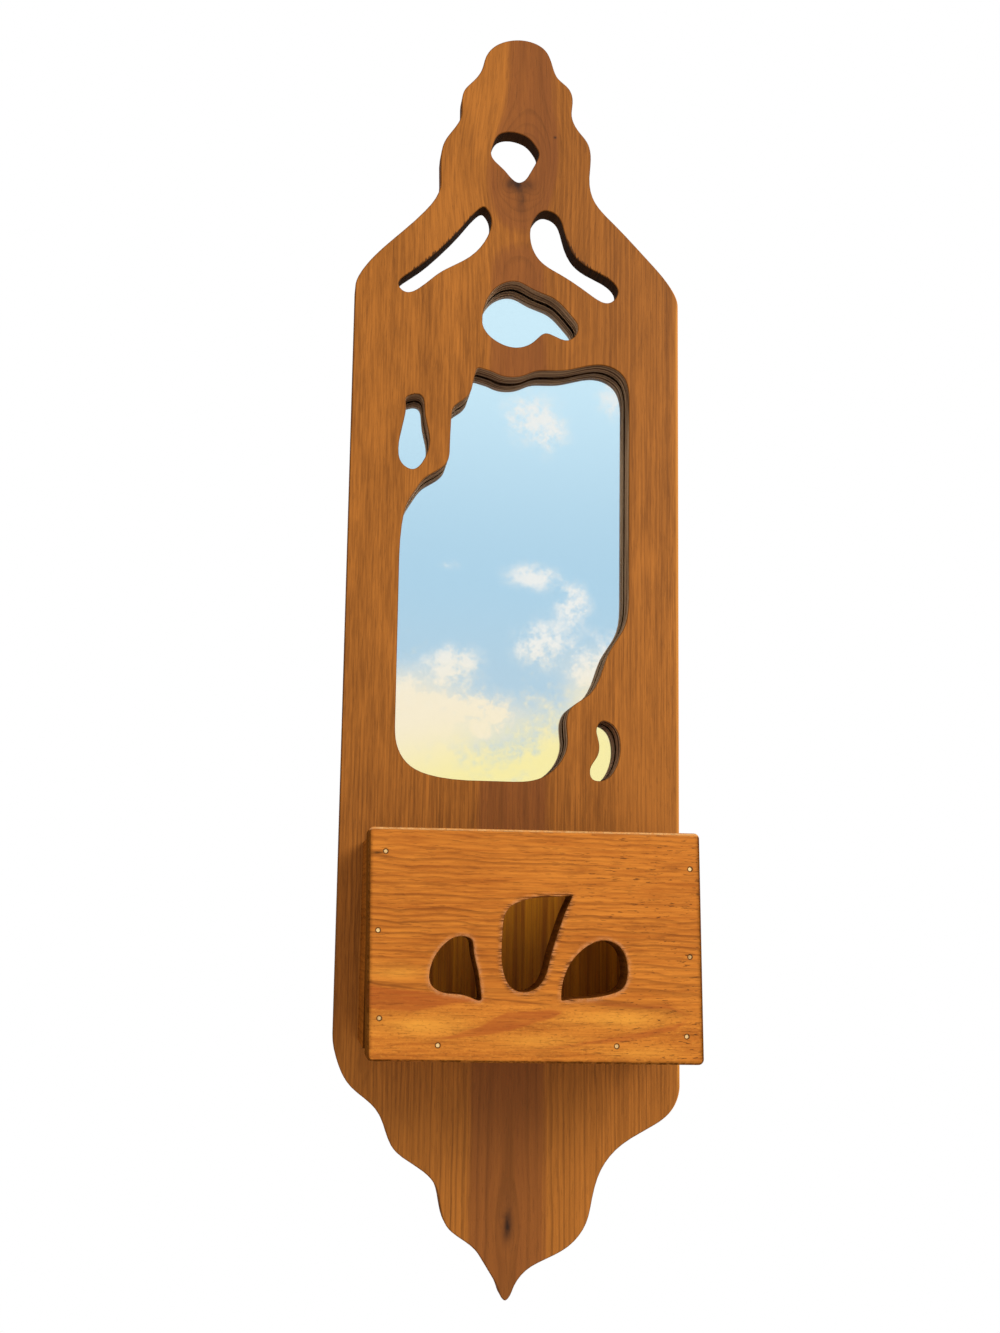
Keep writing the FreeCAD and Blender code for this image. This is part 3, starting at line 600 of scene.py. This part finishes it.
panelFinish = {
    "grain": "X", "width": "Z", "thickness": "Y",
    "face": -0.104, "inward": 1.0,
    "pithAcross": -0.5630, "pithDepth": 0.01918, "slope": 0.018, "taper": 0.0263,
    "wander": 0.011, "ripple": 0.0042, "rippleRate": 52.0,
    "ringWidth": 0.0031, "uneven": 1.1, "lineFrom": 0.40, **plainPlank,
    "golden": paint(236, 144, 50), "brown": paint(178, 93, 26), "lateLine": paint(112, 53, 14),
    "lineDepth": 0.60, "poreDepth": 0.25, "varnish": 0.25, "varnishRough": 0.38,
    "figure": paint(178, 86, 30), "pale": paint(250, 168, 62), "speck": paint(128, 70, 16),
    "darkSpecks": 0.35, "paleSpecks": 0.30, "grimeDepth": 0.28,
    "fleckDepth": 0.75, "fleckFrom": (-0.03, 0.08),
    "rim": 0.0034, "cornerReach": 0.012, "bandBlur": 0.0020, "seam": 0.0010, "sway": 0.0048,
    "calmFade": 0.005, "calmDepth": 0.72,
    "calmBelow": [      # under this line the rings are cut flat and the arched figure shows
        (-0.0849, -0.5483), (-0.0256, -0.5555), (0.0162, -0.5588), (0.0738, -0.5599), (0.0935, -0.5640)],
    "bands": [      # the arches: red wood between an upper and a lower line
        {"depth": 0.85, "line": 0.55,
         "top": [(-0.0848, -0.5490), (-0.0532, -0.5530), (-0.0266, -0.5566),
                 (0.0022, -0.5590), (0.0230, -0.5604)],
         "low": [(-0.0845, -0.5630), (-0.0635, -0.5648), (-0.0488, -0.5622),
                 (-0.0200, -0.5586), (0.0230, -0.5608)]},
        {"depth": 0.85, "line": 0.1,
         "top": [(-0.0560, -0.5796), (-0.0253, -0.5694), (-0.0127, -0.5631),
                 (0.0109, -0.5606), (0.0200, -0.5625)],
         "low": [(-0.0560, -0.5800), (-0.0252, -0.5770), (-0.0083, -0.5733),
                 (0.0109, -0.5672), (0.0200, -0.5628)]},
        {"depth": 0.65, "line": 0.15,
         "top": [(0.0100, -0.5550), (0.0432, -0.5576), (0.0738, -0.5586),
                 (0.0847, -0.5635), (0.0885, -0.5655)],
         "low": [(0.0100, -0.5552), (0.0432, -0.5616), (0.0738, -0.5624),
                 (0.0847, -0.5661), (0.0885, -0.5657)]},
        {"depth": 0.7, "line": 0.15,
         "top": [(-0.0200, -0.5868), (0.0347, -0.5772), (0.0563, -0.5733),
                 (0.0781, -0.5690), (0.0885, -0.5648)],
         "low": [(-0.0200, -0.5872), (0.0347, -0.5816), (0.0563, -0.5788),
                 (0.0781, -0.5735), (0.0885, -0.5660)]},
    ],
    "gleams": [      # paler patches between them
        {"across": -0.5705, "along": -0.0600, "wide": 0.0058, "tall": 0.0300, "depth": 0.75},
        {"across": -0.5672, "along": 0.0455, "wide": 0.0052, "tall": 0.0280, "depth": 0.80},
        {"across": -0.5790, "along": 0.0020, "wide": 0.0040, "tall": 0.0260, "depth": 0.55},
        {"across": -0.5435, "along": -0.0720, "wide": 0.0034, "tall": 0.0130, "depth": 0.55},
        {"across": -0.5850, "along": 0.0600, "wide": 0.0040, "tall": 0.0220, "depth": 0.50},
    ],
    "cutRim": 0.0060, "rimSamples": 8, "paleRimAndGlint": paint(228, 158, 104), "hairWithin": (0.022, 0.026),
    "cutSpan": 0.060, "cutLow": -0.565, "cutHigh": -0.498, "cutFade": 0.002,
    "innerHalf": (0.080, 0.083), "innerLow": (-0.584, -0.582), "innerHigh": (-0.474, -0.472),
    "edgeDirt": paint(86, 45, 8), "topEdgeGlint": paint(248, 192, 124), "litTopFrom": (-0.478, -0.474),
    "sawnWall": paint(104, 58, 20), "fleck": paint(92, 48, 18),
    "nails": [
        (-0.07885, -0.4804), (-0.08185, -0.5219), (-0.08005, -0.5674),
        (0.08665, -0.4869), (0.08645, -0.5339), (0.08465, -0.5759),
        (-0.0490, -0.5811), (0.0465, -0.5811),
    ],
    "nailRing": 0.0016,
    "crack": {"across": -0.4812, "along": -0.0832, "wide": 0.0007, "tall": 0.0036},
}


def panelRim(across, along, reach):      # distance in from the lower edge and from the two ends, which lean
    low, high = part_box("box_front")
    outline = [vertex.co for vertex in nodes["box_front"].data.vertices]
    feet = [point.x for point in outline if point.z < low.z + reach]
    tops = [point.x for point in outline if point.z > high.z - reach]
    leftEdge = lineHeight(across, [(low.z, min(feet)), (high.z, min(tops))])
    rightEdge = lineHeight(across, [(low.z, max(feet)), (high.z, max(tops))])
    return (along - leftEdge).least(rightEdge - along).least(across - low.z)


def panelFace(place, wood, level, calm, finish):
    across, along = wood["across"], wood["along"]
    colour = stained(wood, finish)
    patchy = place.noise((24.0, 24.0, 110.0), 4.0, 0.65).rise(0.3, 0.6)
    for spot in finish["gleams"]:
        patch = farFrom(across, along, spot).decay() * (0.4 + patchy * 0.6) * spot["depth"]
        colour = patch.blend(colour, finish["pale"])
    for band in finish["bands"]:
        below = lineHeight(along, band["top"]) - level
        above = level - lineHeight(along, band["low"])
        inside = below.rise(0.0, finish["bandBlur"]) * above.rise(0.0, finish["bandBlur"])
        reddened = (wood["tone"] * 0.4).blend(finish["figure"], colour)
        colour = (inside * (0.7 + patchy * 0.3) * band["depth"]).blend(colour, reddened)
        lastStretch = [corner[0] for corner in band["top"][-2:]]
        line = abs(below).fall(0.0, finish["seam"]) * along.fall(*lastStretch)
        colour = (line * band["line"] * (0.4 + patchy * 0.6)).blend(colour, finish["lateLine"])
        calm = calm * (1.0 - inside * 0.8)
    specks = place.noise((480.0, 480.0, 900.0), 2.0, 0.6)
    colour = (specks.rise(0.56, 0.70) * calm * finish["darkSpecks"]).blend(colour, finish["speck"])
    colour = (specks.fall(0.30, 0.44) * calm * finish["paleSpecks"]).blend(colour, finish["pale"])
    grime = place.noise((60.0, 60.0, 210.0), 4.0, 0.65).rise(0.5, 0.75)
    return (grime * finish["grimeDepth"]).blend(colour, finish["lateLine"])


def nailRingsAndCrack(across, along, finish):      # dark rings round the nail heads, partly dirt and partly painted shade of the gap round each sunk head, and dirt in one short crack
    nailRingDark = farFrom(across, along, finish["crack"]).decay()
    size = finish["nailRing"]
    for right, up in finish["nails"]:
        spot = {"across": up, "along": right, "wide": size, "tall": size}
        nailRingDark = nailRingDark.most(farFrom(across, along, spot).fall(0.6, 1.3))
    return nailRingDark


def tornCuts(place, wood, colour, flat, arris, ragged, finish):      # pale rims, partly torn fibres and partly painted highlight, and dark hairs
    across, along = wood["across"], wood["along"]
    low, high, fade = finish["cutLow"], finish["cutHigh"], finish["cutFade"]
    cuts = abs(along).fall(finish["cutSpan"], finish["cutSpan"] + fade)
    cuts = cuts * across.rise(low, low + fade) * across.fall(high, high + fade)
    turned = place.node("ShaderNodeBevel", {"samples": finish["rimSamples"]}, {"Radius": finish["cutRim"]})
    nearCut = (turned.axes()["Y"] + 1.0) * flat.rise(0.9, 0.99) * cuts
    hairs = place.noise((70.0, 70.0, 1100.0), 2.0, 0.6).rise(0.46, 0.58)
    hairs = hairs * abs(along).fall(*finish["hairWithin"])
    # pale rim round the cuts: partly torn fibres, partly painted highlight
    torn = nearCut.rise(0.03, 0.12).most(arris * cuts) * (1.0 - hairs)
    colour = (torn * (0.2 + ragged * 0.45)).blend(colour, finish["paleRimAndGlint"])
    return (nearCut.rise(0.008, 0.05).most(arris * cuts) * hairs * 0.85).blend(colour, finish["fleck"])


def makePanelWood(finish):
    material, shader, place = newMaterial("orangePanel")
    wood = ringPattern(place, finish)
    across, along = wood["across"], wood["along"]
    level = across + (place.noise((26.0, 26.0, 90.0), 3.0, 0.6) - 0.5) * finish["sway"]
    calm = (lineHeight(along, finish["calmBelow"]) - level).rise(0.0, finish["calmFade"])
    wood["late"] = wood["late"] * (1.0 - calm * finish["calmDepth"])
    colour = panelFace(place, wood, level, calm, finish)
    flecks = place.noise((150.0, 300.0, 900.0), 2.0, 0.6).rise(0.63, 0.7) * along.rise(*finish["fleckFrom"])
    colour = (flecks * finish["fleckDepth"]).blend(colour, finish["fleck"])
    normal = facing(place)
    flat = abs(normal["Y"])
    wall = flat.fall(0.12, 0.5)
    arris = flat.rise(0.25, 0.6) * flat.fall(0.88, 0.995)
    ragged = place.noise((420.0, 420.0, 420.0), 3.0, 0.65).rise(0.35, 0.65)
    # dark rings round the nail heads: partly dirt, partly painted shade
    nailRingDark = nailRingsAndCrack(across, along, finish) * flat.rise(0.5, 0.9)
    colour = (nailRingDark * 0.95).blend(colour, finish["edgeDirt"])
    inner = abs(along).fall(*finish["innerHalf"])
    inner = inner * across.rise(*finish["innerLow"]) * across.fall(*finish["innerHigh"])
    # painted highlight: rounded edges that face up near the top are painted pale and kept out of the dark
    # edging, where light from above falls on them
    litTopEdge = normal["Z"].rise(0.2, 0.5) * across.rise(*finish["litTopFrom"])
    ends = abs(normal["X"]).rise(0.15, 0.45) * 0.8
    grubby = panelRim(across, along, finish["cornerReach"]).fall(0.0, finish["rim"]) * (0.45 + ragged * 0.5)
    dark = (arris * (0.55 + ragged * 0.4) * (1.0 - inner)).most(ends * (1.0 - inner)).most(grubby)
    dark = dark * (1.0 - litTopEdge)
    colour = dark.blend(colour, finish["edgeDirt"])
    colour = (arris * litTopEdge * (0.3 + ragged * 0.4)).blend(colour, finish["topEdgeGlint"])
    colour = tornCuts(place, wood, colour, flat, arris, ragged, finish)
    colour = (wall * (0.4 + inner * 0.45)).blend(colour, finish["sawnWall"])
    colour = (wall * inner * sawTeeth(place).rise(0.4, 0.65) * 0.6).blend(colour, finish["edgeDirt"])
    relief = wood["fibre"] * 0.5 + wood["late"] * 1.1 - wood["pores"] * 0.6
    relief = relief + ragged * arris * 1.2 - flecks * 1.2
    plug(shader, {
        "Base Color": colour,
        "Roughness": 0.5 + wood["streak"] * 0.2 + wall * 0.15,
        "Specular IOR Level": 0.0,
        "Coat Weight": (1.0 - wall.most(dark)) * finish["varnish"],
        "Coat Roughness": finish["varnishRough"],
        "Normal": bumpFrom(relief, 0.6, 0.0006),
    })
    return material


dress(makePanelWood(panelFinish), "box_front")
print("front panel dressed")


# the rest of the box: the same stain on thinner boards

boxFinish = {
    "golden": paint(166, 92, 30), "brown": paint(118, 62, 18), "lateLine": paint(84, 42, 13),
    "lineDepth": 0.5, "poreDepth": 0.2, "endGrain": paint(86, 46, 17), "dirt": paint(66, 36, 15),
    "dirtDepth": 0.3, "endDepth": 0.7,
}
sideGrain = {
    "grain": "Y", "width": "Z", "thickness": "X", "face": 0.0, "inward": 1.0,
    "pithAcross": -0.6400, "pithDepth": 0.0300, "slope": 0.02, "taper": 0.02,
    "wander": 0.006, "ripple": 0.0020, "rippleRate": 30.0,
    "ringWidth": 0.0036, "uneven": 1.0, "lineFrom": 0.40, **plainPlank,
}
bottomGrain = {
    "grain": "X", "width": "Y", "thickness": "Z", "face": -0.5716, "inward": -1.0,
    "pithAcross": -0.0300, "pithDepth": 0.0260, "slope": 0.01, "taper": 0.01,
    "wander": 0.006, "ripple": 0.0020, "rippleRate": 30.0,
    "ringWidth": 0.0034, "uneven": 1.0, "lineFrom": 0.40, **plainPlank,
}


def makeBoxWood(name, plank, finish):
    material, shader, place = newMaterial(name)
    wood = ringPattern(place, plank)
    end = abs(facing(place)[plank["grain"]]).rise(0.6, 0.9)
    grime = place.noise((38.0, 38.0, 38.0), 4.0, 0.6).rise(0.5, 0.75)
    colour = (grime * finish["dirtDepth"]).blend(stained(wood, finish), finish["dirt"])
    colour = (end * finish["endDepth"]).blend(colour, finish["endGrain"])
    plug(shader, {
        "Base Color": colour,
        "Roughness": 0.6 + wood["streak"] * 0.16,
        "Specular IOR Level": 0.0,
        "Normal": bumpFrom(wood["fibre"] * 0.5 + wood["late"] * 0.8 - wood["pores"] * 0.5, 0.5, 0.0005),
    })
    return material


dress(makeBoxWood("stainedSide", sideGrain, boxFinish), "box_left_side", "box_right_side")
dress(makeBoxWood("stainedBottom", bottomGrain, boxFinish), "box_bottom")
print("box dressed")


# mirrors: clear glass over a bright coat with grey paint behind

mirrorFinish = {
    "glass": (0.985, 0.995, 0.992, 1.0), "glassEdge": (0.45, 0.72, 0.62, 1.0), "ior": 1.5,
    "silver": (0.965, 0.97, 0.97, 1.0), "paint": paint(122, 124, 124), "tarnish": paint(120, 110, 96),
    "gap": 0.00002,      # keeps the coat off the glass
    "weld": 0.000001, "frontReach": 0.0001,
}


def makeGlass(finish):
    material, shader, place = newMaterial("mirrorGlass")
    edge = abs(facing(place)["Y"]).fall(0.3, 0.7)
    smudge = place.noise((14.0, 14.0, 9.0), 4.0, 0.6).rise(0.55, 0.9)
    plug(shader, {
        "Base Color": edge.blend(finish["glass"], finish["glassEdge"]),
        "Roughness": smudge * 0.012 + edge * 0.25,
        "IOR": finish["ior"],
        "Transmission Weight": 1.0,
    })
    return material


def makeSilver(finish):
    material, shader, place = newMaterial("silveredCoat")
    painted = facing(place)["Y"].rise(-0.6, -0.3)
    blotch = place.noise((30.0, 30.0, 30.0), 4.0, 0.6)
    rear = (blotch * 0.4).blend(finish["paint"], finish["tarnish"])
    plug(shader, {
        "Base Color": painted.blend(finish["silver"], rear),
        "Metallic": 1.0 - painted,
        "Roughness": painted * (0.5 + blotch * 0.2),
        "Normal": bumpFrom(blotch * painted, 0.15, 0.0003),
    })
    return material


def silverBack(name, node, material, finish):
    shape = bmesh.new()
    shape.from_mesh(nodes[node].data)
    bmesh.ops.remove_doubles(shape, verts=shape.verts, dist=finish["weld"])
    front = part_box(node)[0].y
    near = [vert for vert in shape.verts if vert.co.y < front + finish["frontReach"]]
    bmesh.ops.translate(shape, verts=near, vec=(0.0, finish["gap"], 0.0))
    piece = finishMesh(name, shape, material)
    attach(piece, "root")
    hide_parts(node)


dress(makeGlass(mirrorFinish), "large_mirror_glass", "small_mirror_glass")
silveredCoat = makeSilver(mirrorFinish)
silverBack("largeSilverBack", "large_mirror_silvering", silveredCoat, mirrorFinish)
silverBack("smallSilverBack", "small_mirror_silvering", silveredCoat, mirrorFinish)
print("mirrors made")


# metal: zinc clips and screws, a brass hanger, nails gone dull

metalFinishes = {
    "clip": {"bright": paint(188, 188, 184), "dull": paint(132, 130, 126), "rough": 0.32,
             "brush": (90.0, 90.0, 900.0)},
    "screw": {"bright": paint(196, 194, 186), "dull": paint(120, 116, 108), "rough": 0.34,
              "brush": (700.0, 700.0, 700.0)},
    "hanger": {"bright": paint(206, 172, 98), "dull": paint(138, 104, 52), "rough": 0.34,
               "brush": (60.0, 400.0, 700.0)},
    "nail": {"bright": paint(255, 216, 156), "dull": paint(186, 134, 80), "rough": 0.5,
             "brush": (800.0, 800.0, 800.0)},
}


def makeMetal(name, finish):
    material, shader, place = newMaterial(name)
    brush = place.noise(finish["brush"], 3.0, 0.6)
    dulled = place.noise((120.0, 120.0, 120.0), 3.0, 0.6).rise(0.4, 0.75)
    plug(shader, {
        "Base Color": dulled.blend(finish["bright"], finish["dull"]),
        "Metallic": 1.0,
        "Roughness": finish["rough"] + dulled * 0.2 + brush * 0.1,
        "Normal": bumpFrom(brush, 0.25, 0.0001),
    })
    return material


clipNames = [name for name in nodes if "_clip_" in name and "screws" not in name]
screwNames = [name for name in nodes if "screws" in name]
nailNames = [name for name in nodes if "nails" in name]
dress(makeMetal("zincClip", metalFinishes["clip"]), *clipNames)
dress(makeMetal("zincScrew", metalFinishes["screw"]), *screwNames)
dress(makeMetal("brassHanger", metalFinishes["hanger"]), "sawtooth_hanger")
dress(makeMetal("dullNail", metalFinishes["nail"]), *nailNames)
print("metal dressed:", len(clipNames), "clips")


# felt wall pads, pressed discs with a soft edge

padFinish = {"edgeRound": 0.0012, "edgeSteps": 4, "sides": 64, "fill": 1.0,
             "felt": paint(96, 78, 62), "fibre": paint(142, 122, 102)}


def makeFelt(finish):
    material, shader, place = newMaterial("brownFelt")
    fuzz = place.noise((900.0, 900.0, 900.0), 4.0, 0.7)
    lumps = place.noise((160.0, 160.0, 160.0), 3.0)
    plug(shader, {
        "Base Color": (fuzz * 0.6 + lumps * 0.3).blend(finish["felt"], finish["fibre"]),
        "Roughness": 0.95,
        "Sheen Weight": 0.4,
        "Normal": bumpFrom(fuzz + lumps, 0.8, 0.0006),
    })
    return material


def feltPad(name, node, material, finish):
    low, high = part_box(node)
    radius = (high.x - low.x) / 2
    shape = bmesh.new()
    bmesh.ops.create_cone(shape, cap_ends=True, segments=finish["sides"], radius1=radius, radius2=radius,
                          depth=high.y - low.y)
    rims = [edge for edge in shape.edges if sum(abs(face.normal.z) > 0.5 for face in edge.link_faces) == 1]
    bmesh.ops.bevel(shape, geom=rims, offset=finish["edgeRound"], offset_type="OFFSET", affect="EDGES",
                    segments=finish["edgeSteps"], profile=0.5, material=-1)
    lying = Matrix.Rotation(math.pi / 2, 3, "X")
    bmesh.ops.rotate(shape, verts=shape.verts, cent=(0.0, 0.0, 0.0), matrix=lying)
    bmesh.ops.translate(shape, verts=shape.verts, vec=(low + high) / 2)
    for face in shape.faces:
        face.smooth = True
    piece = finishMesh(name, shape, material)
    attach(piece, "root")
    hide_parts(node)


brownFelt = makeFelt(padFinish)
feltPad("leftFeltPad", "left_wall_pad", brownFelt, padFinish)
feltPad("rightFeltPad", "right_wall_pad", brownFelt, padFinish)
print("pads made")
